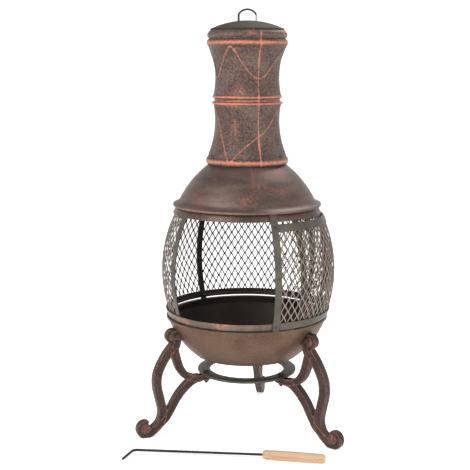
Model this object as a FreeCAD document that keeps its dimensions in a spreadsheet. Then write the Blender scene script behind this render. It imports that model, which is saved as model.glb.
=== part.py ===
import FreeCAD, Part
import math
import os
import Sketcher

# Steel and cast-iron chiminea: three scrolled legs and a ring brace carry a round fire bowl; a barrel of
# expanded mesh stands on the bowl with a mesh door that slides round it; a spun hood and a two-piece cast
# flue stand above, closed by a lift-off lid. A poker lies on the ground in front.
# Frame: origin on the ground under the barrel's axis, +Z up, -Y towards the front opening. Azimuths are
# degrees from the front (-Y), positive towards +X.

os.makedirs("parts", exist_ok=True)
doc = FreeCAD.newDocument("Chiminea")
Vector = FreeCAD.Vector
upAxis = Vector(0, 0, 1)

# ---- driving dimensions, millimetres and degrees ----
drivingDims = [
    ("barrelRadius", 209), ("barrelArc", 311), ("barrelMid", 394.5),
    ("lowerRingBase", 287.5), ("lowerRingTop", 303.5), ("upperRingBase", 535), ("upperRingTop", 551.5),
    ("bandThick", 2.5), ("bandWidth", 16), ("bandGap", 0.2), ("meshThick", 1.6),
    ("frontPostAzimuth", 47), ("rearPostAzimuth", 135),
    ("doorGap", 0.8), ("doorLeadAzimuth", 28), ("doorTrailAzimuth", 122), ("doorRailHeight", 17),
    ("doorTopRailTop", 530.5), ("doorTabLift", 0.3), ("doorTabIn", 0.8), ("doorMidRivet", 409),
    ("bowlRim", 196), ("bowlRimInner", 184), ("bowlFlangeTop", 284), ("bowlFlangeThick", 5),
    ("bowlArc", 205), ("bowlCentre", 348), ("bowlWall", 4.5), ("bowlBase", 186),
    ("lugThick", 6), ("lugBase", 235), ("lugTop", 260), ("lugReach", 198), ("lugGap", 0.1),
    ("legThick", 18), ("legBar", 19.5), ("armThick", 12), ("legBoltRadius", 187.6), ("legBoltLevel", 247),
    ("boltSize", 8), ("boltFit", 0.1), ("spotFace", 17), ("legBoltLength", 34), ("braceBoltLength", 28),
    ("braceInner", 91), ("braceOuter", 121), ("braceBase", 141), ("braceThick", 6), ("braceBoltRadius", 106),
    ("hoodBrim", 177.6), ("hoodBrimBase", 556), ("hoodLipBase", 552.3), ("hoodLip", 1.8),
    ("hoodFlareArc", 34), ("hoodShoulder", 161), ("hoodShoulderLevel", 569), ("hoodSideArc", 240),
    ("hoodTop", 93), ("hoodTopLevel", 650), ("hoodSheet", 2.2), ("collarRadius", 86), ("collarTop", 684),
    ("flueBase", 651), ("flueJoint", 802), ("flueTop", 964), ("flueBore", 70), ("flueWaist", 77.6),
    ("flueBead", 98.5), ("flueRim", 94.5), ("flueScrewLevel", 670), ("flueScrewTurn", 6),
    ("flueLowerSide", 205), ("flueUpperSide", 188), ("flueFootBulge", 10.5), ("flueJointBulge", 3.7),
    ("flueRimBulge", 9.6), ("flueCrownBulge", 8.6),
    ("lidRadius", 87), ("lidEdge", 964.3), ("lidLip", 3), ("lidApex", 987), ("lidSheet", 1.6),
    ("handleSpan", 41), ("handleRise", 1015), ("handleWire", 5), ("handleFoot", 978), ("handleTurn", 98),
    ("clipRadius", 66), ("clipFoot", 952), ("clipWidth", 14), ("clipSheet", 1.5),
    ("pokerRod", 5.5), ("pokerHandle", 23), ("pokerHandleLength", 142), ("pokerStart", -232),
    ("pokerEnd", 72), ("pokerRow", -224), ("pokerHook", 58), ("pokerBend", 9), ("pokerTang", 40),
    ("screwSize", 6), ("screwLength", 12), ("rivetSize", 5), ("rivetInset", 1.4), ("rivetStand", 3.2),
]
dims = doc.addObject("Spreadsheet::Sheet", "Dims")
for row, (alias, number) in enumerate(drivingDims, 1):
    dims.set(f"A{row}", alias)
    dims.set(f"B{row}", str(number))
    dims.setAlias(f"B{row}", alias)
doc.recompute()

legAzimuths = {"front_left": -60, "front_right": 60, "rear": 180}
boreLength = 60  # reaches through every piece that a bolt passes
pieces = []


def value(expression):
    """The number that an expression on the sheet's cells gives."""
    return float(dims.evalExpression(str(expression)))


def cell(alias):
    return getattr(dims, alias)


def turned(azimuth):
    """Placement that turns a piece modelled along +X round the vertical axis to an azimuth."""
    return FreeCAD.Placement(Vector(0, 0, 0), FreeCAD.Rotation(upAxis, azimuth - 90))


def barrel(offset, level):
    """Radius of the barrel's curved wall, moved out by offset, at a level, as an expression."""
    return (f"(Dims.barrelRadius - Dims.barrelArc"
            f" + sqrt((Dims.barrelArc + {offset})^2 - ({level} - Dims.barrelMid)^2))")


def bowlSide(offset, level):
    """Radius of the bowl's outer wall, moved out by offset, at a level, as an expression."""
    return f"sqrt((Dims.bowlArc + {offset})^2 - ({level} - Dims.bowlCentre)^2)"


def outline(body, name, corners, arcs):
    """Closed sketch on the body's XZ plane. corners are (radius, height) expressions; arcs gives the edges
    that are arcs, as corner index: (arc radius expression, +1 if the arc bulges to the right of travel)."""
    sketch = body.newObject("Sketcher::SketchObject", name)
    plane = [item for item in body.Origin.OriginFeatures if item.Role == "XZ_Plane"][0]
    sketch.AttachmentSupport = (plane, [""])
    sketch.MapMode = "FlatFace"
    points = [Vector(value(across), value(up), 0) for across, up in corners]
    ends = []
    for index, start in enumerate(points):
        finish = points[(index + 1) % len(points)]
        if index in arcs:
            radius, side = value(arcs[index][0]), arcs[index][1]
            half = (finish - start) * 0.5
            right = Vector(half.y, -half.x, 0).normalize()
            centre = start + half - right * side * math.sqrt(radius ** 2 - half.Length ** 2)
            first, last = (start, finish) if side > 0 else (finish, start)
            angles = [math.atan2((point - centre).y, (point - centre).x) for point in (first, last)]
            if angles[1] < angles[0]:
                angles[1] += 2 * math.pi
            edge = sketch.addGeometry(Part.ArcOfCircle(Part.Circle(centre, upAxis, radius), *angles), False)
            ends.append((edge, 1, 2) if side > 0 else (edge, 2, 1))
        else:
            edge = sketch.addGeometry(Part.LineSegment(start, finish), False)
            ends.append((edge, 1, 2))
    for index, (edge, head, tail) in enumerate(ends):
        following = ends[(index + 1) % len(ends)]
        sketch.addConstraint(Sketcher.Constraint("Coincident", edge, tail, following[0], following[1]))
        across, up = corners[index]
        if abs(value(across)) < 1e-6:
            sketch.addConstraint(Sketcher.Constraint("PointOnObject", edge, head, -2))
        else:
            place = sketch.addConstraint(Sketcher.Constraint("DistanceX", edge, head, value(across)))
            sketch.setExpression(f"Constraints[{place}]", str(across))
        place = sketch.addConstraint(Sketcher.Constraint("DistanceY", edge, head, value(up)))
        sketch.setExpression(f"Constraints[{place}]", str(up))
    for index, (radius, side) in arcs.items():
        place = sketch.addConstraint(Sketcher.Constraint("Radius", ends[index][0], value(radius)))
        sketch.setExpression(f"Constraints[{place}]", str(radius))
    sketch.Visibility = False
    return sketch


def keep(label, item):
    item.Label = label
    pieces.append(item)
    return item


def revolved(label, corners, arcs=None, sweep=360, azimuth=90):
    """Body turned from an outline about the vertical axis, through sweep degrees from an azimuth."""
    body = doc.addObject("PartDesign::Body", label)
    sketch = outline(body, label + "_outline", corners, arcs or {})
    turn = body.newObject("PartDesign::Revolution", label + "_turn")
    turn.Profile = sketch
    turn.ReferenceAxis = (sketch, ["V_Axis"])
    turn.setExpression("Angle", str(sweep))
    body.Placement = turned(azimuth)
    return keep(label, body)


def padded(label, corners, width, arcs=None, azimuth=90, sideways=0):
    """Body padded equally both ways from an outline in the radial plane at an azimuth."""
    body = doc.addObject("PartDesign::Body", label)
    sketch = outline(body, label + "_outline", corners, arcs or {})
    pad = body.newObject("PartDesign::Pad", label + "_pad")
    pad.Profile = sketch
    pad.setExpression("Length", str(width))
    pad.Midplane = True
    place = turned(azimuth)
    body.Placement = FreeCAD.Placement(place.Rotation.multVec(Vector(0, sideways, 0)), place.Rotation)
    return keep(label, body)


def shaped(label, shape, azimuth=90):
    """Feature with a shape of its own, modelled along +X and turned to its azimuth."""
    item = doc.addObject("Part::Feature", label)
    item.Shape = shape
    item.Placement = turned(azimuth)
    return keep(label, item)


def strip(inner, outer, base, top):
    """Corners and arcs of a band that follows the barrel's wall between two offsets and two levels."""
    corners = [(barrel(outer, base), base), (barrel(outer, top), top),
               (barrel(inner, top), top), (barrel(inner, base), base)]
    return corners, {0: (f"Dims.barrelArc + {outer}", 1), 2: (f"Dims.barrelArc + {inner}", -1)}


def aimed(direction, start):
    """Placement that lays a shape modelled along +Z along a direction from a start point."""
    return FreeCAD.Placement(start, FreeCAD.Rotation(upAxis, direction))


def hexagon(across, height):
    """Hexagonal prism along +Z, by its size across the flats."""
    corners = [Vector(across / math.sqrt(3), 0, 0)]
    turn = FreeCAD.Rotation(upAxis, 60)
    for _ in range(6):
        corners.append(turn.multVec(corners[-1]))
    return Part.Face(Part.makePolygon(corners)).extrude(Vector(0, 0, height))


def bolt(size, length):
    """Hexagon-headed bolt along +Z: the head stands below the origin, the shank above it."""
    head = hexagon(size * 1.6, size * 0.6)
    head.translate(Vector(0, 0, -size * 0.6))
    return head.fuse(Part.makeCylinder(size / 2, length)).removeSplitter()


def nut(size, bore):
    """Hexagon nut along +Z from the origin, bored to run on its bolt."""
    return hexagon(size * 1.6, size * 0.7).cut(Part.makeCylinder(bore / 2, size))


def around(shape, azimuths):
    """Separate solids, one at each azimuth, of a shape modelled along +X."""
    copies = []
    for azimuth in azimuths:
        copy = shape.copy()
        copy.Placement = turned(azimuth).multiply(copy.Placement)
        copies.append(copy)
    return Part.Compound(copies)


# ---- fire bowl: shallow cast pan with a flat base, a thickened rim and three lugs for the legs ----
flangeUnder = "(Dims.bowlFlangeTop - Dims.bowlFlangeThick)"
innerBase = "(Dims.bowlBase + Dims.bowlWall)"
bowlInner = "(-Dims.bowlWall)"
flangeTop = "Dims.bowlFlangeTop"
rimFoot = "(Dims.bowlCentre - sqrt((Dims.bowlArc - Dims.bowlWall)^2 - Dims.bowlRimInner^2))"
bowlCorners = [
    (0, "Dims.bowlBase"), (bowlSide(0, "Dims.bowlBase"), "Dims.bowlBase"),
    (bowlSide(0, flangeUnder), flangeUnder), ("Dims.bowlRim", flangeUnder), ("Dims.bowlRim", flangeTop),
    ("Dims.bowlRimInner", flangeTop), ("Dims.bowlRimInner", rimFoot),
    (bowlSide(bowlInner, innerBase), innerBase), (0, innerBase),
]
bowlBody = revolved("bowl_pan", bowlCorners,
                    {1: ("Dims.bowlArc", 1), 6: ("Dims.bowlArc - Dims.bowlWall", -1)})
pieces.remove(bowlBody)
lugSink = "(-Dims.bowlWall / 2)"
lugCorners = [
    (bowlSide(lugSink, "Dims.lugBase"), "Dims.lugBase"), ("Dims.lugReach", "Dims.lugBase + 4"),
    ("Dims.lugReach", "Dims.lugTop"), (bowlSide(lugSink, "Dims.lugTop"), "Dims.lugTop"),
]
lugShift = cell("legThick") / 2 + cell("lugThick") / 2 + cell("lugGap")
lugs = []
for name, azimuth in legAzimuths.items():
    lug = padded(f"bowl_lug_{name}", lugCorners, "Dims.lugThick", azimuth=azimuth, sideways=lugShift)
    pieces.remove(lug)
    lugs.append(lug)
castBowl = doc.addObject("Part::MultiFuse", "fire_bowl_cast")
castBowl.Shapes = [bowlBody] + lugs
lugBores = []
for name, azimuth in legAzimuths.items():
    bore = doc.addObject("Part::Cylinder", f"lug_bore_{name}")
    bore.setExpression("Radius", "(Dims.boltSize + Dims.boltFit) / 2")
    bore.Height = boreLength
    place = turned(azimuth)
    start = place.multVec(Vector(cell("legBoltRadius"), lugShift - boreLength / 2, cell("legBoltLevel")))
    bore.Placement = aimed(place.Rotation.multVec(Vector(0, 1, 0)), start)
    lugBores.append(bore)
boreGroup = doc.addObject("Part::MultiFuse", "lug_bores")
boreGroup.Shapes = lugBores
fireBowl = doc.addObject("Part::Cut", "fire_bowl")
fireBowl.Base = castBowl
fireBowl.Tool = boreGroup
keep("fire_bowl", fireBowl)

# ---- barrel: two ring bands, four flat-bar posts inside them and three fixed mesh panels inside those ----
ringIn, ringOut = cell("bandGap"), cell("bandGap") + cell("bandThick")
for label, base, top in (("lower_ring", "Dims.lowerRingBase", "Dims.lowerRingTop"),
                         ("upper_ring", "Dims.upperRingBase", "Dims.upperRingTop")):
    revolved(label, *strip(ringIn, ringOut, base, top))
posts = {"front_left": -cell("frontPostAzimuth"), "front_right": cell("frontPostAzimuth"),
         "rear_left": -cell("rearPostAzimuth"), "rear_right": cell("rearPostAzimuth")}
postCorners, postArcs = strip("(-Dims.bandThick)", 0, "Dims.bowlFlangeTop", "(Dims.upperRingTop - 1)")
for name, azimuth in posts.items():
    padded(f"post_{name}", postCorners, "Dims.bandWidth", postArcs, azimuth)
meshOut = -ringOut
meshIn = meshOut - cell("meshThick")
meshBase, meshTop = "(Dims.lowerRingTop - 6)", "(Dims.upperRingBase + 5)"
meshLap = math.degrees(cell("bandWidth") * 0.35 / cell("barrelRadius"))
for name, first, last in (("left", -cell("rearPostAzimuth"), -cell("frontPostAzimuth")),
                          ("right", cell("frontPostAzimuth"), cell("rearPostAzimuth")),
                          ("rear", cell("rearPostAzimuth"), 360 - cell("rearPostAzimuth"))):
    lap = -meshLap if name == "rear" else meshLap
    sweep = last - first + 2 * lap
    panelCorners, panelArcs = strip(meshIn, meshOut, meshBase, meshTop)
    revolved(f"mesh_panel_{name}", panelCorners, panelArcs, sweep, first - lap)

# ---- door: bent-bar stiles and rails with a mesh panel behind them, sliding outside the rings ----
doorIn = ringOut + cell("doorGap")
doorOut = doorIn + cell("bandThick")
doorMeshOut = doorIn - cell("bandGap") / 2
doorMeshIn = doorMeshOut - cell("meshThick")
tabIn = "Dims.doorTabIn"
lowTabTop = "(Dims.lowerRingBase - Dims.doorTabLift)"
lowTabBase = f"({lowTabTop} - Dims.bandThick)"
highTabBase = "(Dims.upperRingTop + Dims.doorTabLift)"
highTabTop = f"({highTabBase} + Dims.bandThick)"
stileCorners = [
    (barrel(tabIn, lowTabTop), lowTabBase), (barrel(doorOut, lowTabTop), lowTabBase),
    (barrel(doorOut, highTabBase), highTabTop), (barrel(tabIn, highTabBase), highTabTop),
    (barrel(tabIn, highTabBase), highTabBase), (barrel(doorIn, highTabBase), highTabBase),
    (barrel(doorIn, lowTabTop), lowTabTop), (barrel(tabIn, lowTabTop), lowTabTop),
]
stileArcs = {1: (f"Dims.barrelArc + {doorOut}", 1), 5: (f"Dims.barrelArc + {doorIn}", -1)}
stiles = {"door_stile_lead": cell("doorLeadAzimuth"), "door_stile_trail": cell("doorTrailAzimuth")}
for label, azimuth in stiles.items():
    padded(label, stileCorners, "Dims.bandWidth", stileArcs, azimuth)
stileHalf = math.degrees((cell("bandWidth") / 2 + 0.4) / (value(barrel(0, cell("upperRingBase")))))
railFirst = cell("doorLeadAzimuth") + stileHalf
railSweep = cell("doorTrailAzimuth") - cell("doorLeadAzimuth") - 2 * stileHalf
lowRailBase = "(Dims.lowerRingBase + 0.5)"
railLevels = {"door_rail_top": ("(Dims.doorTopRailTop - Dims.doorRailHeight)", "Dims.doorTopRailTop"),
              "door_rail_bottom": (lowRailBase, f"({lowRailBase} + Dims.doorRailHeight)")}
for label, (base, top) in railLevels.items():
    revolved(label, *strip(doorIn, doorOut, base, top), sweep=railSweep, azimuth=railFirst)
meshFirst = cell("doorLeadAzimuth") - meshLap
meshSweep = cell("doorTrailAzimuth") - cell("doorLeadAzimuth") + 2 * meshLap
doorMeshBase, doorMeshTop = "(Dims.lowerRingTop + 0.6)", "(Dims.upperRingBase - 4)"
meshCorners, meshArcs = strip(doorMeshIn, doorMeshOut, doorMeshBase, doorMeshTop)
revolved("door_mesh", meshCorners, meshArcs, meshSweep, meshFirst)

# ---- spun hood: near-straight cone with a flared brim and an upstanding collar for the flue ----
sheet = "Dims.hoodSheet"
brimTop = f"(Dims.hoodBrimBase + {sheet})"
lipInner = "(Dims.hoodBrim - Dims.hoodLip)"
topUnder = f"(Dims.hoodTopLevel - {sheet})"
collarInner = f"(Dims.collarRadius - {sheet})"
hoodCorners = [
    ("Dims.hoodBrim", "Dims.hoodLipBase"), ("Dims.hoodBrim", brimTop),
    ("Dims.hoodShoulder", "Dims.hoodShoulderLevel"), ("Dims.hoodTop", "Dims.hoodTopLevel"),
    ("Dims.collarRadius", "Dims.hoodTopLevel"), ("Dims.collarRadius", "Dims.collarTop"),
    (collarInner, "Dims.collarTop"), (collarInner, topUnder), (f"(Dims.hoodTop - {sheet} / 2)", topUnder),
    (f"(Dims.hoodShoulder - {sheet})", f"(Dims.hoodShoulderLevel - {sheet})"),
    ("(Dims.hoodBrim - 4)", "Dims.hoodBrimBase"), (lipInner, "Dims.hoodBrimBase"),
    (lipInner, "Dims.hoodLipBase"),
]
hoodArcs = {1: ("Dims.hoodFlareArc", -1), 2: ("Dims.hoodSideArc", 1),
            8: (f"(Dims.hoodSideArc - {sheet})", -1), 9: (f"(Dims.hoodFlareArc + {sheet})", 1)}
revolved("hood", hoodCorners, hoodArcs)

# ---- hood brackets: cranked strips from the inside of the posts to the underside of the hood ----
bracketOut, bracketIn = meshOut, meshOut - 2.3
bracketFoot = "(Dims.upperRingTop - 11)"
bracketCorners = [
    (barrel(bracketOut, bracketFoot), bracketFoot),
    (barrel(bracketOut, "Dims.upperRingTop"), "Dims.upperRingTop"),
    ("(Dims.hoodShoulder - 3.8)", "(Dims.hoodShoulderLevel + 0.4)"),
    ("(Dims.hoodShoulder - 11.3)", "(Dims.hoodShoulderLevel + 13.6)"),
    ("(Dims.hoodShoulder - 13.3)", "(Dims.hoodShoulderLevel + 12.5)"),
    ("(Dims.hoodShoulder - 6)", "(Dims.hoodShoulderLevel - 0.6)"),
    (barrel(bracketIn, "Dims.upperRingTop"), "(Dims.upperRingTop - 1)"),
    (barrel(bracketIn, bracketFoot), bracketFoot),
]
for name, azimuth in posts.items():
    padded(f"hood_bracket_{name}", bracketCorners, "Dims.bandWidth - 2", azimuth=azimuth)

# ---- cast flue in two sections, beaded at the base, at the joint and at the rim ----
collarSeat = "(Dims.collarRadius + 0.4)"
lowerCorners = [
    ("(Dims.flueBead - 5)", "Dims.flueBase"), ("(Dims.flueBead - 5)", "(Dims.flueBase + 18)"),
    ("(Dims.flueBead - 8)", "(Dims.flueBase + 29)"), ("(Dims.flueWaist + 2.4)", "(Dims.flueJoint - 9.5)"),
    ("(Dims.flueWaist + 2.4)", "(Dims.flueJoint - 3)"), ("Dims.flueWaist", "(Dims.flueJoint - 2)"),
    ("Dims.flueWaist", "Dims.flueJoint"), ("Dims.flueBore", "Dims.flueJoint"),
    ("Dims.flueBore", "(Dims.collarTop + 14)"), (collarSeat, "(Dims.collarTop + 2)"),
    (collarSeat, "Dims.flueBase"),
]
flueLowerArcs = {0: ("Dims.flueFootBulge", 1), 2: ("Dims.flueLowerSide", -1), 3: ("Dims.flueJointBulge", 1)}
revolved("flue_lower", lowerCorners, flueLowerArcs)
upperCorners = [
    ("Dims.flueWaist", "Dims.flueJoint"), ("Dims.flueWaist", "(Dims.flueJoint + 4)"),
    ("(Dims.flueWaist + 2.4)", "(Dims.flueJoint + 5)"), ("(Dims.flueWaist + 2.4)", "(Dims.flueJoint + 12)"),
    ("(Dims.flueRim - 6.5)", "(Dims.flueTop - 42)"), ("(Dims.flueRim - 3)", "(Dims.flueTop - 37)"),
    ("(Dims.flueRim - 3)", "(Dims.flueTop - 20)"), ("(Dims.flueRim - 4)", "(Dims.flueTop - 18)"),
    ("(Dims.flueRim - 4)", "(Dims.flueTop - 3)"), ("(Dims.flueRim - 7)", "Dims.flueTop"),
    ("Dims.flueBore", "Dims.flueTop"), ("Dims.flueBore", "Dims.flueJoint"),
]
flueUpperArcs = {2: ("Dims.flueJointBulge", 1), 3: ("Dims.flueUpperSide", -1),
                 5: ("Dims.flueRimBulge", 1), 7: ("Dims.flueCrownBulge", 1)}
revolved("flue_upper", upperCorners, flueUpperArcs)

# ---- lid: pressed dome on the flue's rim, with a wire bail handle and three locating clips ----
lidWall = "Dims.lidSheet"
lidRise = "(Dims.lidApex - Dims.lidEdge - Dims.lidLip)"
lidArc = f"((Dims.lidRadius^2 + {lidRise}^2) / (2 * {lidRise}))"
lidInner = f"(Dims.lidRadius - {lidWall})"
lidUnder = f"(Dims.lidApex - {lidArc} + sqrt(({lidArc} - {lidWall})^2 - {lidInner}^2))"
lidCorners = [
    (0, "Dims.lidApex"), (0, f"(Dims.lidApex - {lidWall})"), (lidInner, lidUnder), (lidInner, "Dims.lidEdge"),
    ("Dims.lidRadius", "Dims.lidEdge"), ("Dims.lidRadius", "(Dims.lidEdge + Dims.lidLip)"),
]
revolved("lid_dome", lidCorners, {1: (f"{lidArc} - {lidWall}", -1), 5: (lidArc, 1)})


def handleShape():
    """Round wire arch: two legs through the dome joined by an arc over the top."""
    half, wire = cell("handleSpan") / 2, cell("handleWire") / 2
    foot, crown = cell("handleFoot"), cell("handleRise") - wire
    shoulder = crown - 12
    path = Part.Wire([
        Part.LineSegment(Vector(-half, 0, foot), Vector(-half, 0, shoulder)).toShape(),
        Part.Arc(Vector(-half, 0, shoulder), Vector(0, 0, crown), Vector(half, 0, shoulder)).toShape(),
        Part.LineSegment(Vector(half, 0, shoulder), Vector(half, 0, foot)).toShape(),
    ])
    section = Part.Wire(Part.Circle(Vector(-half, 0, foot), upAxis, wire).toShape())
    return path.makePipeShell([section], True, False)


def clipShape():
    """Bent locating clip: a foot welded under the dome and a tongue that hangs inside the flue's bore."""
    reach = cell("clipRadius")
    dome = value(f"{lidArc} - Dims.lidSheet")
    under = cell("lidApex") - cell("lidSheet") - dome + math.sqrt(dome ** 2 - reach ** 2)
    low, wide, thin = cell("clipFoot"), cell("clipWidth"), cell("clipSheet")
    tongue = Part.makeBox(thin, wide, under - low, Vector(reach - thin, -wide / 2, low))
    foot = Part.makeBox(wide, wide, thin, Vector(reach - wide, -wide / 2, under - thin))
    return tongue.fuse(foot).removeSplitter()


shaped("lid_handle", handleShape(), azimuth=cell("handleTurn"))
shaped("lid_clips", around(clipShape(), (0, 120, 240)))
lidNut = nut(5, cell("handleWire") + cell("boltFit"))
nuts = []
for side in (-1, 1):
    piece = lidNut.copy()
    piece.translate(Vector(side * cell("handleSpan") / 2, 0, cell("handleFoot")))
    nuts.append(piece)
shaped("lid_handle_nuts", Part.Compound(nuts), azimuth=cell("handleTurn"))


# ---- legs: flat castings with a leaf-shaped window, curled at the top and at the foot ----
def curve(points):
    """Smooth edge through a few points given as (radius, height)."""
    spline = Part.BSplineCurve()
    spline.interpolate([Vector(across, 0, up) for across, up in points])
    return spline.toShape()


def spiral(centre, start, stop, radii):
    """Points on a curl about a centre, from a start to a stop angle, its radius shrinking evenly."""
    steps = max(4, int(abs(stop - start) / 40))
    found = []
    for step in range(steps + 1):
        share = step / steps
        angle = math.radians(start + (stop - start) * share)
        radius = radii[0] + (radii[1] - radii[0]) * share
        found.append((centre[0] + radius * math.cos(angle), centre[1] + radius * math.sin(angle)))
    return found


def stroke(points, widths, thick):
    """Bar of even thickness whose flat outline follows a curve and narrows from one width to another."""
    edge = curve(points)
    low, high = edge.FirstParameter, edge.LastParameter
    count = 4 * len(points)
    sides = ([], [])
    for step in range(count + 1):
        share = step / count
        place = low + (high - low) * share
        centre, along = edge.valueAt(place), edge.tangentAt(place)
        across = Vector(-along.z, 0, along.x) * (widths[0] + (widths[1] - widths[0]) * share) / 2
        sides[0].append(((centre + across).x, (centre + across).z))
        sides[1].append(((centre - across).x, (centre - across).z))
    near, far = curve(sides[0]), curve(sides[1])
    joins = [Part.LineSegment(near.valueAt(near.LastParameter), far.valueAt(far.LastParameter)).toShape(),
             Part.LineSegment(near.valueAt(near.FirstParameter), far.valueAt(far.FirstParameter)).toShape()]
    face = Part.Face(Part.Wire(Part.__sortEdges__([near, far] + joins)))
    return raised(face, thick)


def raised(face, thick):
    bar = face.extrude(Vector(0, thick, 0))
    bar.translate(Vector(0, -thick / 2, 0))
    return bar


boreRadius = (cell("boltSize") + cell("boltFit")) / 2
braceRoom = 4  # how far the flat seat of the ring brace runs past its edge
armEnd = cell("braceInner") + 3
armLevel = cell("braceBase") - 6.5
curlCentre, footCentre = (192, 243), (262, 22.4)
curlEye, footEye, boltEye = 10, 12, 9
outerLine = ([(189, 222), (211, 193), (229, 157), (232, 124), (225, 90), (219.5, 58), (228, 30)]
             + spiral(footCentre, 238, 480, (15.5, 10.5)))
curlLine = [(187, 212), (181.5, 228)] + spiral(curlCentre, 175, -80, (12, 9))
innerLine = [(189, 212), (183, 188), (175, 164), (160, 144), (138, armLevel + 0.5),
             (114, armLevel), (armEnd, armLevel)]
strutLine = [(120, 134.5), (138, 131.5), (155, 121), (170, 106.5),
             (184, 88.5), (197, 66), (209.5, 45), (222, 32), (237, 20)]


def legShape():
    thick, bar = cell("legThick"), cell("legBar")
    bars = [stroke(outerLine, (bar, bar * 0.8), thick), stroke(curlLine, (bar * 0.86, bar * 0.66), thick),
            stroke(innerLine, (bar, bar * 0.62), thick), stroke(strutLine, (bar * 0.9, bar * 0.7), thick)]
    boltSpot = (cell("legBoltRadius"), cell("legBoltLevel"))
    eyes = [(curlCentre, curlEye), (footCentre, footEye), (boltSpot, boltEye)]
    for (across, up), radius in eyes:
        bars.append(Part.makeCylinder(radius, thick, Vector(across, -thick / 2, up), Vector(0, 1, 0)))
    casting = bars[0].fuse(bars[1:]).removeSplitter()
    seat = cell("braceBase") - cell("armThick")
    side = boreLength / 2
    spotFoot = Vector(cell("braceBoltRadius"), 0, seat - side)
    legHole = Vector(cell("legBoltRadius"), -side, cell("legBoltLevel"))
    ground = Part.makeBox(2 * cell("bowlArc"), 2 * side, side, Vector(0, -side, -side))
    cuts = [
        ground,
        Part.makeBox(cell("braceOuter") + braceRoom, 2 * side, side, Vector(0, -side, cell("braceBase"))),
        Part.makeCylinder(cell("spotFace") / 2, side, spotFoot),
        Part.makeCylinder(boreRadius, boreLength, spotFoot),
        Part.makeCylinder(boreRadius, boreLength, legHole, Vector(0, 1, 0)),
        Part.makeSphere(cell("bowlArc") + cell("bandGap"), Vector(0, 0, cell("bowlCentre"))),
    ]
    return casting.cut(cuts)


legPattern = legShape()
for name, azimuth in legAzimuths.items():
    shaped(f"leg_{name}", legPattern, azimuth)

# ---- ring brace and the fasteners of the stand ----
braceTop = "(Dims.braceBase + Dims.braceThick)"
braceCorners = [("Dims.braceInner", "Dims.braceBase"), ("Dims.braceOuter", "Dims.braceBase"),
                ("Dims.braceOuter", braceTop), ("Dims.braceInner", braceTop)]
braceBody = revolved("brace_blank", braceCorners)
pieces.remove(braceBody)
braceBores = doc.addObject("Part::Feature", "brace_bores")
boreFoot = Vector(cell("braceBoltRadius"), 0, cell("braceBase") - boreLength / 2)
braceBore = Part.makeCylinder(boreRadius, boreLength, boreFoot)
braceBores.Shape = around(braceBore, legAzimuths.values())
ringBrace = doc.addObject("Part::Cut", "ring_brace")
ringBrace.Base = braceBody
ringBrace.Tool = braceBores
keep("ring_brace", ringBrace)

boltSize = cell("boltSize")
braceBolt = bolt(boltSize, cell("braceBoltLength"))
braceBolt.Placement = aimed(Vector(0, 0, -1), Vector(cell("braceBoltRadius"), 0, value(braceTop)))
shaped("brace_bolts", around(braceBolt, legAzimuths.values()))
nutSeat = cell("braceBase") - cell("armThick")
braceNut = nut(boltSize, 2 * boreRadius)
braceNut.Placement = aimed(Vector(0, 0, -1), Vector(cell("braceBoltRadius"), 0, nutSeat))
shaped("brace_nuts", around(braceNut, legAzimuths.values()))
legFace = cell("legThick") / 2
legBolt = bolt(boltSize, cell("legBoltLength"))
legBolt.Placement = aimed(Vector(0, 1, 0), Vector(cell("legBoltRadius"), -legFace, cell("legBoltLevel")))
shaped("leg_bolts", around(legBolt, legAzimuths.values()))
legNut = nut(boltSize, 2 * boreRadius)
nutStart = lugShift + cell("lugThick") / 2
legNut.Placement = aimed(Vector(0, 1, 0), Vector(cell("legBoltRadius"), nutStart, cell("legBoltLevel")))
shaped("leg_nuts", around(legNut, legAzimuths.values()))


# ---- poker: steel rod with a bent tip and a turned wooden handle, lying on the ground ----
def pokerParts():
    rod, grip = cell("pokerRod") / 2, cell("pokerHandle") / 2
    row, first, last = cell("pokerRow"), cell("pokerStart"), cell("pokerEnd")
    heel = Vector(first, row, rod)
    tip = heel + Vector(-10, -cell("pokerHook"), 0)
    neck = Vector(last, row - 4, grip)
    along = (neck - heel).normalize()
    bend = cell("pokerBend")
    before = heel + (tip - heel).normalize() * bend
    after = heel + along * bend
    inward = ((before + after) * 0.5 - heel) * 0.55 + heel
    path = Part.Wire([Part.LineSegment(tip, before).toShape(), Part.Arc(before, inward, after).toShape(),
                      Part.LineSegment(after, neck + along * cell("pokerTang")).toShape()])
    section = Part.Wire(Part.Circle(tip, (before - tip).normalize(), rod).toShape())
    rodShape = path.makePipeShell([section], True, False)
    length = cell("pokerHandleLength")
    profile = [
        (0, 0), (0.72, 0), (0.9, 0.03), (0.95, 0.06), (0.95, 0.1), (0.88, 0.11), (0.88, 0.125), (0.97, 0.135),
        (1, 0.45), (1, 0.6), (0.97, 0.865), (0.88, 0.875), (0.88, 0.89), (0.96, 0.9), (0.94, 0.96),
        (0.74, 1), (0, 1),
    ]
    corners = [Vector(radius * grip, 0, share * length) for radius, share in profile]
    turnedGrip = Part.Face(Part.makePolygon(corners + corners[:1])).revolve(Vector(0, 0, 0), upAxis, 360)
    level = Vector(1, -0.03, 0).normalize()
    turnedGrip.Placement = aimed(level, neck)
    return rodShape, turnedGrip.cut(rodShape)


rodShape, gripShape = pokerParts()
shaped("poker_rod", rodShape)
shaped("poker_handle", gripShape)


# ---- small fasteners: screws of the flue, rivets of barrel and door ----
def domed(size, length):
    """Round-headed screw or rivet along +Z: a low dome below the origin, its shank above."""
    head = Part.makeSphere(size * 1.25, Vector(0, 0, size * 0.75))
    keepBox = Part.makeBox(6 * size, 6 * size, 3 * size, Vector(-3 * size, -3 * size, -3 * size))
    return head.common(keepBox).fuse(Part.makeCylinder(size / 2, length)).removeSplitter()


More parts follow.
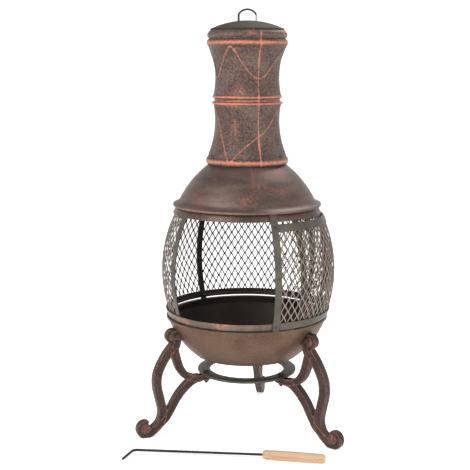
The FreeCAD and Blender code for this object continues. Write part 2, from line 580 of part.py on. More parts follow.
def radialIn(shape, radius, level):
    """Lays a fastener along the radius, pointing to the axis from outside."""
    copy = shape.copy()
    copy.Placement = aimed(Vector(-1, 0, 0), Vector(radius, 0, level))
    return copy


def radialOut(shape, radius, level):
    """Lays a fastener along the radius, pointing away from the axis from inside."""
    copy = shape.copy()
    copy.Placement = aimed(Vector(1, 0, 0), Vector(radius, 0, level))
    return copy


flueScrew = domed(cell("screwSize"), cell("screwLength"))
screwSeat = cell("flueBead") - 5
flueScrew = radialIn(flueScrew, screwSeat, cell("flueScrewLevel"))
screwAzimuths = [azimuth + cell("flueScrewTurn") for azimuth in legAzimuths.values()]
shaped("flue_screws", around(flueScrew, screwAzimuths))

rivet = cell("rivetSize")
ringLevels = (value("(Dims.lowerRingBase + Dims.lowerRingTop) / 2"),
              value("(Dims.upperRingBase + Dims.upperRingTop) / 2 - 2"))
ringRivets = []
for level in ringLevels:
    shankEnd = value(barrel(ringOut - cell("rivetInset"), level))
    headSeat = value(barrel(meshIn - cell("rivetStand"), level))
    ringRivets.append(around(radialOut(domed(rivet, shankEnd - headSeat), headSeat, level), posts.values()))
shaped("ring_rivets", Part.Compound(ringRivets))
lowRivetShare = 0.65  # clears the lower ring's edge
rivetLevels = (value(lowRailBase) + cell("doorRailHeight") * lowRivetShare, cell("doorMidRivet"),
               cell("doorTopRailTop") - cell("doorRailHeight") / 2)
doorRivets = []
for level in rivetLevels:
    headSeat = value(barrel(doorOut + 0.1, level))
    onMesh = level > cell("lowerRingTop")
    shankEnd = value(barrel(doorMeshIn if onMesh else doorIn + 2 * cell("bandGap"), level))
    doorRivets.append(around(radialIn(domed(rivet, headSeat - shankEnd), headSeat, level), stiles.values()))
shaped("door_rivets", Part.Compound(doorRivets))

# ---- checks and export ----
doc.recompute()
for item in doc.Objects:
    if "Invalid" in item.State or "Error" in item.State:
        raise RuntimeError(f"{item.Label} failed: {item.State}")
for item in pieces:
    if item.Shape.isNull() or not item.Shape.isValid() or item.Shape.Volume < 1:
        raise RuntimeError(f"{item.Label} has no valid shape")
    item.Shape.exportStep(f"parts/{item.Label}.step")
    print(f"{item.Label:26s} solids {len(item.Shape.Solids):2d}  volume {item.Shape.Volume / 1000:9.1f} cm3")
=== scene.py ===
import math

import bmesh
import bpy
import numpy as np
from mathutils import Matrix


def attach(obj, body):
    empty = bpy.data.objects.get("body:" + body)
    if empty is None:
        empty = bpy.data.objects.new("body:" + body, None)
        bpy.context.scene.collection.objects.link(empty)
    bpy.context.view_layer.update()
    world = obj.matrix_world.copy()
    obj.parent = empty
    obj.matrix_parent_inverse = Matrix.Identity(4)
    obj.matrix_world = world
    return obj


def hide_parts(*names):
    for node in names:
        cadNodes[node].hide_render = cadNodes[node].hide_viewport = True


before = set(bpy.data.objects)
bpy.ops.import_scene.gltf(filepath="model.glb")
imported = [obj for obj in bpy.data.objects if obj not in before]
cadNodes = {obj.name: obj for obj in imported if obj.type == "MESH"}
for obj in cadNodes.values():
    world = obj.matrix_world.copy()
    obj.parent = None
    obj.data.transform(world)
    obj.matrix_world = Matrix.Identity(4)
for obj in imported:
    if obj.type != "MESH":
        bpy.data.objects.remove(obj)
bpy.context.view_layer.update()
print("frame loaded,", len(cadNodes), "nodes")

mm = 0.001                        # shapes below are written in millimetres


def towards(azimuth):             # degrees from the front, + to +X, as an angle round +Z
    return np.radians(np.asarray(azimuth, float) - 90)


def softStep(value, low, high):   # 0 below low, 1 above high, smooth in between
    t = np.clip((value - low) / (high - low), 0, 1)
    return t * t * (3 - 2 * t)


def hump(distance, halfWidth):    # bell curve, 1 in the middle
    return np.exp(-(distance / halfWidth) ** 2)


def arc(start, end, sag, steps=12):
    # circular arc between two (radius, level) points, standing sag off the chord, + to the right of travel
    start, end = np.array(start, float), np.array(end, float)
    half = np.linalg.norm(end - start) / 2
    radius = (half**2 + sag**2) / (2 * abs(sag))
    reach = 2 * math.atan(abs(sag) / half)
    t = np.linspace(-reach, reach, steps)
    ahead = (end - start) / (2 * half)
    side = np.array([ahead[1], -ahead[0]]) * np.sign(sag)
    rise = radius * np.cos(t) - radius + abs(sag)
    return (start + end) / 2 + np.outer(radius * np.sin(t), ahead) + np.outer(rise, side)


def evenly(points, spacing):      # the same line again with its points a set distance apart
    points = np.asarray(points, float)
    steps = np.linalg.norm(np.diff(points, axis=0), axis=1)
    run = np.concatenate([[0], np.cumsum(steps)])
    at = np.linspace(0, run[-1], max(2, round(run[-1] / spacing) + 1))
    return np.column_stack([np.interp(at, run, column) for column in points.T])


def flowing(points, steps):
    # smooth line through the points, each stretch a cubic through its four nearest points
    p = np.array(points, float)
    p = np.vstack([2 * p[0] - p[1], p, 2 * p[-1] - p[-2]])
    t = np.linspace(0, 1, steps, endpoint=False)[:, None]
    a, b, c, d = p[:-3, None], p[1:-2, None], p[2:-1, None], p[3:, None]
    line = b + ((c - a) * t + (2 * a - 5 * b + 4 * c - d) * t**2 + (3 * b - a - 3 * c + d) * t**3) / 2
    return np.vstack([line.reshape(-1, p.shape[1]), p[-2]])


def patch(points, closeRows=False, rub=None):
    # grid of points, rows x columns; columns always close, rows close too or end in a middle point
    rows, columns = points.shape[:2]
    spots = points.reshape(-1, 3)
    rub = np.zeros(len(spots)) if rub is None else np.broadcast_to(rub, (rows, columns)).reshape(-1)
    here = np.arange(rows * columns).reshape(rows, columns)
    beside = np.roll(here, -1, axis=1)
    last = rows if closeRows else rows - 1
    after, afterBeside = np.roll(here, -1, axis=0), np.roll(beside, -1, axis=0)
    quads = np.stack([here[:last], beside[:last], afterBeside[:last], after[:last]], axis=-1)
    faces = quads.reshape(-1, 4).tolist()
    if not closeRows:
        first = rows * columns
        spots = np.vstack([spots, points[0].mean(axis=0), points[-1].mean(axis=0)])
        rub = np.concatenate([rub, rub[:1], rub[-1:]])
        faces += [[first, b, a] for a, b in zip(here[0].tolist(), beside[0].tolist())]
        faces += [[first + 1, a, b] for a, b in zip(here[-1].tolist(), beside[-1].tolist())]
    return spots, faces, rub


def meshOf(name, patches, crease=40):
    faces, start = [], 0
    for spots, made, rub in patches:
        faces += [[v + start for v in face] for face in made]
        start += len(spots)
    mesh = bpy.data.meshes.new(name)
    mesh.from_pydata(np.vstack([p[0] for p in patches]) * mm, [], faces)
    rubAndLitValues = np.concatenate([p[2] for p in patches])
    mesh.attributes.new("rub", "FLOAT", "POINT").data.foreach_set("value", rubAndLitValues)
    work = bmesh.new()
    work.from_mesh(mesh)
    bmesh.ops.recalc_face_normals(work, faces=work.faces)
    work.to_mesh(mesh)
    work.free()
    mesh.shade_smooth()
    mesh.set_sharp_from_angle(angle=math.radians(crease))
    return mesh


def showPiece(name, mesh, material, body, standsFor):
    piece = bpy.data.objects.new(name, mesh)
    bpy.context.collection.objects.link(piece)
    piece.data.materials.append(material)
    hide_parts(*standsFor)
    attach(piece, body)
    return piece


def spun(profile, columns):       # (radius, level) points carried round the upright axis
    angle = np.linspace(0, 2 * math.pi, columns, endpoint=False)
    radius, level = profile[:, :1], profile[:, 1:]
    return np.stack([radius * np.cos(angle), radius * np.sin(angle), level + 0 * angle], axis=-1)


# the barrel's wall is an arc of radius "bend" about the axis, widest at its waist
barrel = {"centre": -102, "bend": 311, "waist": 394.5}


# shader helpers
def tone(red, green, blue):       # a colour given by three numbers from 0 to 255
    return tuple(((c / 255 + 0.055) / 1.055) ** 2.4 for c in (red, green, blue)) + (1,)


class Val:                        # a shader value that adds and multiplies like a number
    def __init__(self, skin, socket):
        self.skin, self.socket = skin, socket

    def __add__(self, other):
        return self.skin.sum("ADD", self, other)

    def __sub__(self, other):
        return self.skin.sum("SUBTRACT", self, other)

    def __mul__(self, other):
        return self.skin.sum("MULTIPLY", self, other)

    def __rsub__(self, other):
        return self.skin.sum("SUBTRACT", other, self)

    __radd__, __rmul__ = __add__, __mul__


class Skin:                       # one material and the nodes that go into it
    def __init__(self, name):
        self.material = bpy.data.materials.new(name)
        self.material.use_nodes = True
        self.tree = self.material.node_tree
        self.shader = self.tree.nodes["Principled BSDF"]
        self.place = self.make("ShaderNodeTexCoord", out="Object")

    def feed(self, value, socket):
        if isinstance(value, Val):
            self.tree.links.new(value.socket, socket)
        else:
            socket.default_value = value

    def make(self, kind, settings={}, sockets={}, out=0):
        node = self.tree.nodes.new(kind)
        for key, value in settings.items():
            setattr(node, key, value)
        for key, value in sockets.items():
            self.feed(value, node.inputs[key])
        return Val(self, node.outputs[out])

    def sum(self, kind, a, b):
        return self.make("ShaderNodeMath", {"operation": kind}, {0: a, 1: b})

    def mix(self, mask, under, over):
        return self.make("ShaderNodeMix", {"data_type": "RGBA"}, {0: mask, 6: under, 7: over}, 2)

    def noise(self, scale, detail=3, stretch=(1, 1, 1)):
        place = self.make("ShaderNodeMapping", {}, {"Vector": self.place, "Scale": stretch})
        return self.make("ShaderNodeTexNoise", {}, {"Vector": place, "Scale": scale, "Detail": detail})

    def step(self, value, low, high):
        ends = {"Value": value, "From Min": low, "From Max": high}
        return self.make("ShaderNodeMapRange", {"interpolation_type": "SMOOTHSTEP"}, ends)

    def offWall(self):            # how far out of the barrel's wall a point is, in metres
        x, y, z = (self.make("ShaderNodeSeparateXYZ", {}, {0: self.place}, axis) for axis in "XYZ")
        above = z - barrel["waist"] * mm
        wall = self.sum("POWER", (barrel["bend"] * mm) ** 2 - above * above, 0.5) + barrel["centre"] * mm
        return self.sum("POWER", x * x + y * y, 0.5) - wall

    def gap(self, centre):        # distance from a fixed point
        ends = {0: self.place, 1: centre}
        return self.make("ShaderNodeVectorMath", {"operation": "DISTANCE"}, ends, "Value")

    def attribute(self, name):
        return self.make("ShaderNodeAttribute", {"attribute_name": name}, {}, "Fac")

    def bump(self, height, strength, depth):
        ends = {"Height": height, "Strength": strength, "Distance": depth}
        self.feed(self.make("ShaderNodeBump", {}, ends), self.shader.inputs["Normal"])

    def surface(self, **sockets):
        for key, value in sockets.items():
            self.feed(value, self.shader.inputs[key])
        return self.material


# cast and sheet metal: two greys in soft clouds, copper where it's rubbed or in blotches, fine grain; on the
# wire mesh the rubbed tone is a painted lit side
def metal(name, look):
    skin = Skin(name)
    clouds = skin.step(skin.noise(look["cloudScale"], 4, look.get("stretch", (1, 1, 1))), 0.32, 0.68)
    mottle = skin.step(skin.noise(look["mottleScale"], 2), 0.36, 0.64) - 0.5
    clouds = clouds + mottle * look["mottle"]
    speck = skin.noise(look["speckScale"], 5)
    grain = skin.noise(look["grainScale"], 3)
    blotch = skin.step(skin.noise(look["blotchScale"], 2), look["blotchFrom"], look["blotchFrom"] + 0.13)
    blotch = blotch * skin.step(speck, 0.4, 0.62) * look["blotch"]
    # the rub attribute is real rubbing on most parts, and a painted lit side on the wire mesh strands
    rubbedAndLit = skin.step(skin.attribute("rub") + (speck - 0.5) * 0.9, 0.24, 1.0)
    colour = skin.mix(clouds, look["dark"], look["light"])
    flecks = skin.step(skin.noise(look["fleckScale"], 4), 0.42, 0.66) * look["flecks"]
    colour = skin.mix(flecks, colour, look["copper"])
    colour = skin.mix(blotch, colour, look["copper"])
    colour = skin.mix(rubbedAndLit, colour, look["copper"])
    if "sootInside" in look:      # black on the inward side: painted shade on the inner faces of the rings and posts; the inside of the bowl is black too
        edge = look["sootInside"] * mm
        far = skin.offWall() if "sootCentre" not in look else skin.gap(look["sootCentre"])
        darkened = (1 - skin.step(far, edge - 0.0006, edge + 0.0006)) * (0.82 + clouds * 0.18)
        colour = skin.mix(darkened, colour, look["soot"])
    skin.bump(grain * look["grain"] + speck * 0.35, look["bump"], 0.0012)
    rough = look["rough"] + (grain - 0.5) * 0.2 - rubbedAndLit * 0.08
    skin.shader.inputs["Metallic"].default_value = look["metal"]
    skin.shader.inputs["Specular IOR Level"].default_value = look["shine"]
    return skin.surface(**{"Base Color": colour, "Roughness": rough})


castLook = {"dark": tone(60, 54, 49), "light": tone(95, 85, 78), "copper": tone(200, 126, 102),
            "cloudScale": 16, "speckScale": 170, "grainScale": 950, "blotchScale": 13,
            "blotchFrom": 0.6, "blotch": 0.6, "grain": 0.9, "bump": 0.9, "rough": 0.5, "metal": 0.5,
            "soot": tone(38, 33, 30), "fleckScale": 330, "flecks": 0.2, "shine": 0.5,
            "mottleScale": 230, "mottle": 0.9}
legLook = {**castLook, "dark": tone(38, 33, 30), "light": tone(60, 50, 44), "copper": tone(150, 98, 82),
           "blotch": 0.3, "bump": 0.5, "flecks": 0.2, "mottle": 0.6}
bowlLook = {**castLook, "dark": tone(80, 61, 48), "light": tone(99, 78, 61), "blotch": 0.1, "bump": 0.25,
            "flecks": 0.12, "mottle": 0.35, "grainScale": 700,
            "sootInside": 201.4, "sootCentre": (0, 0, 0.348)}
hoodLook = {**castLook, "dark": tone(76, 67, 61), "light": tone(110, 91, 82),
            "copper": tone(156, 100, 84), "cloudScale": 16, "stretch": (0.6, 0.6, 2.5),
            "blotch": 0.55, "blotchFrom": 0.52, "bump": 0.25, "rough": 0.46, "flecks": 0.18, "mottle": 0.3}
# rings: the inner face, less than 0.9 mm out from the barrel's wall, is darkened as painted shade
ringLook = {**castLook, "dark": tone(82, 73, 65), "light": tone(114, 101, 90), "blotch": 0.5,
            "bump": 0.14, "flecks": 0.15, "mottle": 0.4, "rough": 0.42, "sootInside": 0.9}
# upper ring: the ring finish made darker, as painted shade under the hood's brim
shadedUpperRingLook = {**ringLook, "dark": tone(56, 49, 44), "light": tone(86, 73, 65)}
greyLook = {**castLook, "dark": tone(66, 64, 56), "light": tone(88, 82, 72), "copper": tone(128, 100, 88),
            "blotch": 0.3, "bump": 0.14, "rough": 0.44, "flecks": 0.1, "mottle": 0.25}
# posts: the part more than 1.3 mm inside the barrel's wall is darkened as painted shade
postLook = {**greyLook, "sootInside": -1.3}
lidLook = {**greyLook, "dark": tone(47, 41, 33), "light": tone(62, 54, 44), "rough": 0.6, "metal": 0,
           "shine": 0.06}
# wire mesh: painted light and shade; the copper tone is a lighter grey-brown lit outer face on each strand, and
# the black is its shaded inner face
blackLook = {**castLook, "dark": tone(16, 15, 15), "light": tone(26, 24, 23),
             "copper": tone(132, 118, 106), "blotch": 0, "flecks": 0, "bump": 0.15,
             "rough": 0.5, "metal": 0.3}
wireLook = {**castLook, "dark": tone(30, 30, 30), "light": tone(44, 43, 42), "blotch": 0, "flecks": 0,
            "bump": 0.1, "rough": 0.36, "metal": 0.6}
boltLook = {**greyLook, "dark": tone(58, 52, 46), "light": tone(82, 74, 66), "metal": 0.7, "rough": 0.4}

castIron = metal("castIron", castLook)
legIron = metal("legIron", legLook)
bowlIron = metal("bowlIron", bowlLook)
hoodSteel = metal("hoodSteel", hoodLook)
ringSteel = metal("ringSteel", ringLook)
upperRingSteel = metal("upperRingSteel", shadedUpperRingLook)
greySteel = metal("greySteel", greyLook)
postSteel = metal("postSteel", postLook)
lidSteel = metal("lidSteel", lidLook)
meshSteel = metal("meshSteel", blackLook)
wireSteel = metal("wireSteel", wireLook)
boltSteel = metal("boltSteel", boltLook)


woodLook = {"pale": tone(211, 180, 151), "dark": tone(176, 136, 103), "rings": 90, "rough": 0.5}
wood = Skin("wood")
fibre = wood.noise(260, 4, (0.06, 1, 1))
band = wood.noise(woodLook["rings"], 3, (0.05, 1, 1))
wood.bump(fibre, 0.2, 0.0005)
figure = wood.step(band * 0.6 + fibre * 0.4, 0.35, 0.65)
turnedWood = wood.surface(**{"Base Color": wood.mix(figure, woodLook["pale"], woodLook["dark"]),
                             "Roughness": woodLook["rough"] + fibre * 0.1})
print("materials made")


# flue: two bell-shaped castings with raised lines
flue = {"ribAzimuth": 28, "lineHalfWidth": 2.5, "lineHeight": 1.9, "columns": 400, "spacing": 1.25,
        "repeat": 180, "ease": 2.5,
        "upperLine": [(-60, 853), (-49, 861), (-41, 882), (-30, 906), (-17, 928), (-9, 911),
                      (0, 889), (10, 870), (20, 858), (28, 852), (41, 860), (52, 877),
                      (65, 899), (83, 919), (96, 925), (108, 900)],
        "lowerLine": [(-60, 784), (-47, 745), (-33, 704), (-23.5, 678), (-16.5, 658), (-8, 677),
                      (5, 696.5), (19, 712), (28, 721), (38, 730), (50, 746), (64, 768),
                      (75, 784), (90, 795), (112, 798)]}


def drawnLine(points, azimuth):
    # a line through (azimuth, level) points that comes round twice, its corners eased by a short average
    at, level = np.array(points, float).T
    near = azimuth + np.linspace(-flue["ease"], flue["ease"], 9)[:, None]
    return np.interp(near, at, level, period=flue["repeat"]).mean(axis=0)


def blotches(azimuth, level, spots):   # soft worn patches: (azimuth, level, half angle, half height, share)
    worn = 0
    for middle, height, wide, tall, share in spots:
        away = (azimuth - middle + flue["repeat"] / 2) % flue["repeat"] - flue["repeat"] / 2
        worn = worn + share * hump(away, wide) * hump(level - height, tall)
    return worn


def flueSection(outer, inner, points, crests, spots):
    outer = evenly(outer, flue["spacing"])
    azimuth = np.linspace(0, 360, flue["columns"], endpoint=False)
    radius, level = outer[:, :1], outer[:, 1:]
    perDegree = math.radians(1) * radius
    line = drawnLine(points, azimuth)
    closed = np.concatenate([line[-1:], line, line[:1]])
    slope = np.gradient(closed)[1:-1] / np.gradient(azimuth) / perDegree
    offLine = (level - line) / np.sqrt(1 + slope**2)
    offRib = ((azimuth - flue["ribAzimuth"] + 180) % 360 - 180) * perDegree
    raised = np.maximum(hump(offLine, flue["lineHalfWidth"]), hump(offRib, flue["lineHalfWidth"]))
    worn = sum(hump(level - middle, half) * share for middle, half, share in crests)
    angle = towards(azimuth)
    out = radius + flue["lineHeight"] * raised
    skinOuter = np.stack([out * np.cos(angle), out * np.sin(angle), level + 0 * angle], axis=-1)
    back = np.array(inner, float)[:, :, None]
    inX, inY = back[:, 0] * np.cos(angle), back[:, 0] * np.sin(angle)
    skinInner = np.stack([inX, inY, back[:, 1] + 0 * angle], axis=-1)
    worn = worn + blotches(azimuth, level, spots)
    rub = np.vstack([np.clip(raised * 0.64 + worn, 0, 1), np.zeros((len(inner), len(azimuth)))])
    return patch(np.concatenate([skinOuter, skinInner]), True, rub)


lowerOuter = np.vstack([arc((93.5, 651), (93.5, 669), 5.1), [[90.5, 680]],
                        arc((90.5, 680), (80, 792.5), -7.9, 40), arc((80, 792.5), (80, 799), 2.9),
                        [[77.6, 800], [77.6, 801.8]]])
upperOuter = np.vstack([[[77.6, 802.2], [77.6, 806], [80, 807]], arc((80, 807), (80, 814), 2.6),
                        arc((80, 814), (88, 922), -7.9, 40), [[91.5, 927]],
                        arc((91.5, 927), (91.5, 944), 4.2), [[90.5, 946]],
                        arc((90.5, 946), (90.5, 961), 3.8), [[87.5, 964]]])
bore = 70
lowerInner = [(bore, 801.8), (bore, 750), (bore, 698), (86.3, 686), (86.3, 651)]
upperInner = [(bore + 2, 964), (bore, 962), (bore, 880), (bore, 802.2)]
lowerCrests = [(660, 6, 0.85), (795.7, 3, 0.85), (801, 2, 0.7)]    # (level, half height, share)
upperCrests = [(810.5, 3, 0.85), (803, 2, 0.6), (935.5, 6, 0.8), (953.5, 4, 0.3)]
lowerWorn = [(-13, 738, 11, 40, 0.48), (-22, 790, 30, 7, 0.4), (30, 700, 9, 22, 0.3)]
upperWorn = [(-16, 822, 18, 11, 0.46), (-6, 921, 8, 6, 0.44), (34, 900, 8, 20, 0.28)]
lowerFlue = meshOf("flueLower", [flueSection(lowerOuter, lowerInner, flue["lowerLine"], lowerCrests, lowerWorn)])
upperFlue = meshOf("flueUpper", [flueSection(upperOuter, upperInner, flue["upperLine"], upperCrests, upperWorn)])
showPiece("flueLower", lowerFlue, castIron, "stand", ["flue_lower"])
showPiece("flueUpper", upperFlue, castIron, "stand", ["flue_upper"])
print("flue made")


# hood and lid
hood = {"seamAzimuth": 14.5, "columns": 260, "spacing": 1.8, "bulge": 5.9,
        "worn": [(8, 585, 16, 12, 0.5), (45, 600, 22, 20, 0.38), (-40, 590, 14, 16, 0.46),
                 (36, 628, 14, 9, 0.34)]}
hoodOuter = np.vstack([[[177.3, 552.4], [177.7, 552.9], [177.7, 557.2], [176.8, 558.2]],
                       arc((176, 558.4), (161, 569), -2.2, 8), arc((161, 569), (93, 650), hood["bulge"], 40),
                       [[92, 650.8], [86.2, 650.8], [86, 651.5], [86, 684]]])
hoodInner = np.vstack([[[83.8, 684], [83.8, 649.5], [90.8, 648.6]],
                       arc((90.8, 648.6), (159, 567.2), -hood["bulge"], 30),
                       arc((159, 567.2), (173.6, 556), 2.0, 8), [[175.8, 556], [175.9, 552.8]]])
hoodOuter = evenly(hoodOuter, hood["spacing"])
# azimuth of each column of points
hoodAround = np.linspace(0, 360, hood["columns"], endpoint=False) + 90
hoodLevel = hoodOuter[:, 1:]
seam = hump((hoodAround - hood["seamAzimuth"] + 180) % 360 - 180, 2.2) * softStep(hoodLevel, 590, 625)
brim = hump(hoodLevel - 556, 3)
hoodRub = np.clip(blotches(hoodAround, hoodLevel, hood["worn"]) + 0.6 * seam + 0.4 * brim, 0, 1)
hoodRub = np.vstack([hoodRub, np.zeros((len(hoodInner), hood["columns"]))])
hoodPatch = patch(spun(np.vstack([hoodOuter, hoodInner]), hood["columns"]), True, hoodRub)
showPiece("hoodShell", meshOf("hoodShell", [hoodPatch]), hoodSteel, "stand", ["hood"])

lid = {"rim": 87, "apex": 987, "rimLevel": 967.3, "lip": 964.3, "sheet": 1.6}
lidTop = arc((0.01, lid["apex"]), (lid["rim"] - 0.8, lid["rimLevel"] + 0.4), -4.9, 40)
lidBelow = arc((lid["rim"] - 1.8, lid["rimLevel"] - 1.4), (0.01, lid["apex"] - lid["sheet"]), 4.9, 30)
lidLip = [[lid["rim"], lid["rimLevel"] - 0.4], [lid["rim"], lid["lip"] + 0.3],
          [lid["rim"] - 0.8, lid["lip"]], [lid["rim"] - 1.6, lid["lip"] + 0.3]]
lidMesh = meshOf("lidDome", [patch(spun(np.vstack([lidTop, lidLip, lidBelow]), 160))])
showPiece("lidDome", lidMesh, lidSteel, "lid", ["lid_dome"])
print("hood and lid made")


# barrel
def onBarrel(azimuth, level, offset):
    radius = barrel["centre"] + np.sqrt((barrel["bend"] + offset) ** 2 - (level - barrel["waist"]) ** 2)
    angle = towards(azimuth)
    x, y = radius * np.cos(angle), radius * np.sin(angle)
    return np.stack([x, y, level + 0 * x], axis=-1)


def roundedBox(low, high, inner, outer, edge, steps=3):   # (level, offset) points round a strip's section
    corners = [(high, outer, 0), (low, outer, 90), (low, inner, 180), (high, inner, 270)]
    points = []
    for level, offset, start in corners:
        for turned in np.radians(start + np.linspace(0, 90, steps + 1)):
            inLevel = level - edge if level == high else level + edge
            inOffset = offset - edge if offset == outer else offset + edge
            points.append((inLevel + edge * math.cos(turned), inOffset + edge * math.sin(turned)))
    return np.array(points)


def hoopStrip(low, high, inner, outer, azimuths, closed):
    section = roundedBox(low, high, inner, outer, 0.9)
    return patch(onBarrel(np.asarray(azimuths, float)[:, None], section[:, 0], section[:, 1]), closed)


around = np.linspace(0, 360, 240, endpoint=False)
hoops = {"lower": (287.5, 303.5), "upper": (535, 551.5), "offset": (0.2, 2.7)}
for side, steel in (("lower", ringSteel), ("upper", upperRingSteel)):
    hoop = meshOf(side + "Hoop", [hoopStrip(*hoops[side], *hoops["offset"], around, True)])
    showPiece(side + "Hoop", hoop, steel, "stand", [side + "_ring"])


# expanded metal: each strand swings side to side as it climbs and lies against its neighbour at every bond
weave = {"pitch": 5.0, "rise": 28.0, "width": 2.9, "thick": 1.1, "bond": 0.06}
# each panel's first and last azimuth, how far it stands off the wall, its lowest and highest level
panels = {"mesh_panel_left": (-135, -47, -2.7, 298, 539.5),
          "mesh_panel_right": (47, 135, -2.7, 298, 539.5),
          "mesh_panel_rear": (135, 225, -2.7, 298, 539.5),
          "door_mesh": (28, 122, 3.4, 304.5, 530.5)}


def strandWeave(start, end, outer, low, high):
    bond, rise = weave["bond"], weave["rise"]
    bends = [bond, 0.5 - bond, 0.5 + bond, 1 - bond]
    turns = (np.arange(0, math.ceil((high - low) / rise))[:, None] + bends).reshape(-1)
    level = np.concatenate([[low], (low + turns * rise)[turns * rise < high - low - 1], [high]])
    phase = ((level - low) / rise) % 1
    swing = np.clip((1 - 4 * np.abs(phase - 0.5)) / (1 - 4 * bond), -1, 1)
    radius = np.linalg.norm(onBarrel(0 * level, level, outer)[:, :2], axis=1)
    half = np.degrees(weave["width"] / 2 / radius)
    section = np.array([(-1, 0), (1, 0), (1, 1), (-1, 1)])
    strands = []
    for count in range(int((end - start) / (weave["pitch"] / 2))):
        way = 1 if count % 2 else -1
        centre = start + weave["pitch"] * (0.25 + count / 2) + way * swing * (weave["pitch"] / 4 - half)
        across = centre[:, None] + section[:, 0] * half[:, None]
        offset = outer - (1 - section[:, 1]) * weave["thick"]
        # rub 1 on each strand's outer face: a painted lit side, lighter than the black, shaded inner face
        strands.append(patch(onBarrel(across, level[:, None] + 0 * across, offset), False, section[:, 1]))
    return strands


for node, ends in panels.items():
    body = "door" if node == "door_mesh" else "stand"
    woven = meshOf(node, strandWeave(*ends), 30)
    showPiece(node.replace("_", ""), woven, meshSteel, body, [node])
print("barrel made")


# ring brace
brace = {"inner": 91, "outer": 121, "low": 141, "high": 147, "edge": 1.4}
braceSides = [brace[key] for key in ("low", "high", "inner", "outer", "edge")]
braceSection = roundedBox(*braceSides)[:, ::-1]
braceMesh = meshOf("braceRing", [patch(spun(braceSection, 160), True)])
showPiece("braceRing", braceMesh, greySteel, "stand", ["ring_brace"])


# legs: bars with raised edges, melted together like a casting
leg = {"azimuths": {"leg_front_left": -60, "leg_front_right": 60, "leg_rear": 180},
       "half": 9.5, "sink": 1.7, "grow": 1.0, "rim": 2.4, "edge": 0.9, "voxel": 1.25,
       "bowlCentre": 348, "bowlRadius": 205.2,
       "outer": [(189, 222, 19.5), (211, 193, 19.5), (229, 157, 19.5), (232, 124, 19.5), (225, 90, 19.5),
                 (219.5, 58, 19.5), (228, 30, 19.5)],
       "curl": [(187, 212, 16.8), (181.5, 228, 16.8)],
       "inner": [(189, 212, 19.5), (183, 188, 19), (175, 164, 18), (160, 144, 16.5), (138, 135, 14),
                 (114, 134.5, 12.5), (94, 134.5, 12)],
       "strut": [(120, 134.5, 17), (138, 131.5, 17.5), (155, 121, 18), (170, 106.5, 18), (184, 88.5, 17.5),
                 (197, 66, 17), (209.5, 45, 16), (222, 32, 14.5), (237, 20, 13)],
       "footEye": (262, 22.4, 12), "topEye": (192, 243, 10), "boltEye": (187.6, 247, 9)}


def coil(centre, fromAngle, toAngle, radii, widths):   # (radius, level, width) points of a scroll
    t = np.linspace(0, 1, 9)
    angle = np.radians(fromAngle + (toAngle - fromAngle) * t)
    radius, width = radii[0] + (radii[1] - radii[0]) * t, widths[0] + (widths[1] - widths[0]) * t
    across, up = radius * np.cos(angle), radius * np.sin(angle)
    return np.column_stack([centre[0] + across, centre[1] + up, width])


def legBar(points, steps=6):
    line = flowing(points, steps)
    ahead = np.gradient(line[:, :2], axis=0)
    ahead /= np.linalg.norm(ahead, axis=1, keepdims=True)
    side = np.column_stack([ahead[:, 1], -ahead[:, 0]])
    half, sink, rim, edge = leg["half"], leg["sink"], leg["rim"], leg["edge"]
    wide = line[:, 2] / 2 + leg["grow"]
    across = np.stack([-wide, edge - wide, rim - wide, rim + edge - wide,
                       wide - rim - edge, wide - rim, wide - edge, wide], 1)
    depth = np.array([half - edge, half, half, half - sink, half - sink, half, half, half - edge])
    across, depth = np.hstack([across, across[:, ::-1]]), np.concatenate([depth, -depth[::-1]])
    flat = line[:, None, :2] + across[:, :, None] * side[:, None]
    return patch(np.stack([flat[..., 0], np.broadcast_to(depth, across.shape), flat[..., 1]], axis=-1))


def legEye(radius, level, size):  # round boss, slightly domed on both faces
    half = leg["half"]
    profile = np.array([(0.1, half + 1.2), (size / 2, half + 0.9), (size - 1.2, half), (size, half - 1.2)])
    profile = np.vstack([profile, profile[::-1] * [1, -1]])
    angle = np.linspace(0, 2 * math.pi, 40, endpoint=False)
    out, depth = profile[:, :1], profile[:, 1:]
    across, up = out * np.cos(angle), out * np.sin(angle)
    return patch(np.stack([radius + across, depth + 0 * angle, level + up], axis=-1))


footCoil = coil(leg["footEye"], 238, 480, (15.5, 10.5), (19.5, 15.6))
topCoil = coil(leg["topEye"], 175, -80, (12, 9), (16.8, 12.8))
legParts = [legBar(np.vstack([leg["outer"], footCoil])), legBar(np.vstack([leg["curl"], topCoil])),
            legBar(leg["inner"]), legBar(leg["strut"]), legEye(*leg["footEye"]), legEye(*leg["topEye"]),
            legEye(*leg["boltEye"])]
rough = bpy.data.objects.new("legRough", meshOf("legRough", legParts))
bpy.context.collection.objects.link(rough)
melt = rough.modifiers.new("melt", "REMESH")
melt.mode, melt.voxel_size = "VOXEL", leg["voxel"] * mm
ease = rough.modifiers.new("ease", "SMOOTH")
ease.factor, ease.iterations = 0.5, 2
melted = bpy.data.meshes.new_from_object(rough.evaluated_get(bpy.context.evaluated_depsgraph_get()))
bpy.data.objects.remove(rough)
spots = np.zeros(len(melted.vertices) * 3)
melted.vertices.foreach_get("co", spots)
spots = spots.reshape(-1, 3) / mm
reach = np.hypot(spots[:, 0], spots[:, 2] - leg["bowlCentre"])
inBowl = reach < leg["bowlRadius"] + 0.2
push = np.where(inBowl, (leg["bowlRadius"] + 0.2) / reach, 1)
spots[:, 0] *= push
spots[:, 2] = leg["bowlCentre"] + (spots[:, 2] - leg["bowlCentre"]) * push
spots[:, 2] = np.maximum(spots[:, 2], 0)
underBrace = (spots[:, 0] < 126) & (spots[:, 2] > brace["low"] - 0.2)
spots[underBrace, 2] = brace["low"] - 0.2
legRub = softStep(np.abs(spots[:, 1]), leg["half"] - 1.6, leg["half"] - 0.6) * 0.55
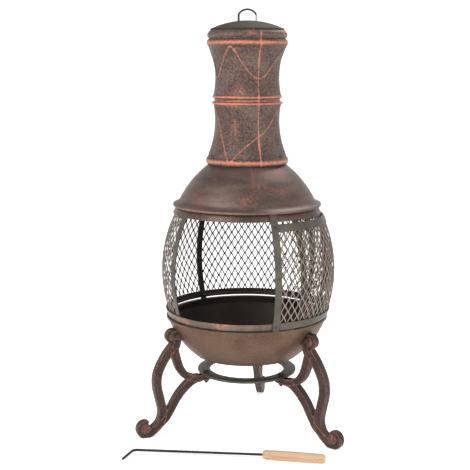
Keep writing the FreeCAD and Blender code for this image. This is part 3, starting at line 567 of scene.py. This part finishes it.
for name, azimuth in leg["azimuths"].items():
    angle = float(towards(azimuth))
    mesh = melted.copy()
    turned = np.column_stack([spots[:, 0] * math.cos(angle) - spots[:, 1] * math.sin(angle),
                              spots[:, 0] * math.sin(angle) + spots[:, 1] * math.cos(angle), spots[:, 2]])
    mesh.vertices.foreach_set("co", (turned * mm).reshape(-1))
    mesh.attributes.new("rub", "FLOAT", "POINT").data.foreach_set("value", legRub)
    mesh.update()
    mesh.shade_smooth()
    showPiece(name.replace("_", ""), mesh, legIron, "stand", [name])
print("legs made,", len(spots), "points each")


# the CAD parts that stay as they are
finishes = {"fire_bowl": bowlIron, "post_": postSteel, "door_": greySteel, "hood_bracket": greySteel,
            "lid_clips": greySteel, "lid_handle": wireSteel, "poker_rod": wireSteel,
            "poker_handle": turnedWood, "brace_": boltSteel, "leg_": boltSteel, "rivets": boltSteel,
            "screws": boltSteel, "lid_handle_nuts": boltSteel}
for node, part in cadNodes.items():
    chosen = greySteel
    for key, material in finishes.items():
        chosen = material if key in node else chosen
    part.data.materials.clear()
    part.data.materials.append(chosen)
print("finishes given")


# floor, light and camera
bpy.context.scene.view_settings.view_transform = "Standard"
stage = {"flat": 4.4, "curve": 2.6, "columns": 48, "colour": tone(246, 244, 241), "glow": 0.56}
sweepAngle = np.linspace(0, math.pi / 2, 20)
sweepOut = stage["flat"] + stage["curve"] * np.sin(sweepAngle)
sweepUp = stage["curve"] * (1 - np.cos(sweepAngle))
sweepProfile = np.column_stack([sweepOut, sweepUp])
sweepGrid = spun(np.vstack([[[0.001, 0], [2.2, 0]], sweepProfile]), stage["columns"])
sweepPoints = sweepGrid.reshape(-1, 3)
here = np.arange(len(sweepPoints)).reshape(sweepGrid.shape[:2])
beside = np.roll(here, -1, axis=1)
sweepFaces = np.stack([here[:-1], here[1:], beside[1:], beside[:-1]], axis=-1).reshape(-1, 4).tolist()
sweep = bpy.data.meshes.new("backdrop")
sweep.from_pydata(sweepPoints.tolist(), [], sweepFaces)
sweep.shade_smooth()
backdrop = bpy.data.objects.new("backdrop", sweep)
bpy.context.collection.objects.link(backdrop)
paper = Skin("paper")
paperTone = paper.mix(paper.noise(3, 2), stage["colour"], tone(241, 239, 236))
paper.shader.inputs["Emission Color"].default_value = stage["colour"]
paper.shader.inputs["Emission Strength"].default_value = stage["glow"]
backdrop.data.materials.append(paper.surface(**{"Base Color": paperTone, "Roughness": 0.7}))

lights = {"key": ((-1.9, -2.3, 2.3), 2.0, 70), "fill": ((2.5, -1.7, 1.5), 2.2, 27),
          "back": ((0.4, 1.3, 2.6), 1.5, 45)}
for name, (spot, size, power) in lights.items():
    lamp = bpy.data.lights.new(name, "AREA")
    lamp.size, lamp.energy = size, power
    holder = bpy.data.objects.new(name, lamp)
    bpy.context.collection.objects.link(holder)
    holder.location = spot
    aim = np.array([0, 0, 0.5]) - spot
    tilt, turn = math.atan2(np.hypot(aim[0], aim[1]), -aim[2]), math.atan2(-aim[0], aim[1])
    holder.rotation_euler = (tilt, 0, turn)

world = bpy.data.worlds.new("studio")
world.use_nodes = True
world.node_tree.nodes["Background"].inputs["Color"].default_value = (0.86, 0.9, 1, 1)
world.node_tree.nodes["Background"].inputs["Strength"].default_value = 0.43
bpy.context.scene.world = world

eye = {"spot": (0.366, -2.449, 0.895), "down": 9.57, "turn": 9.17, "lens": 79.4}
camera = bpy.data.objects.new("camera", bpy.data.cameras.new("camera"))
bpy.context.collection.objects.link(camera)
camera.location = eye["spot"]
camera.rotation_euler = (math.radians(90 - eye["down"]), 0, math.radians(eye["turn"]))
camera.data.lens, camera.data.sensor_width = eye["lens"], 36
bpy.context.scene.camera = camera
print("stage set")
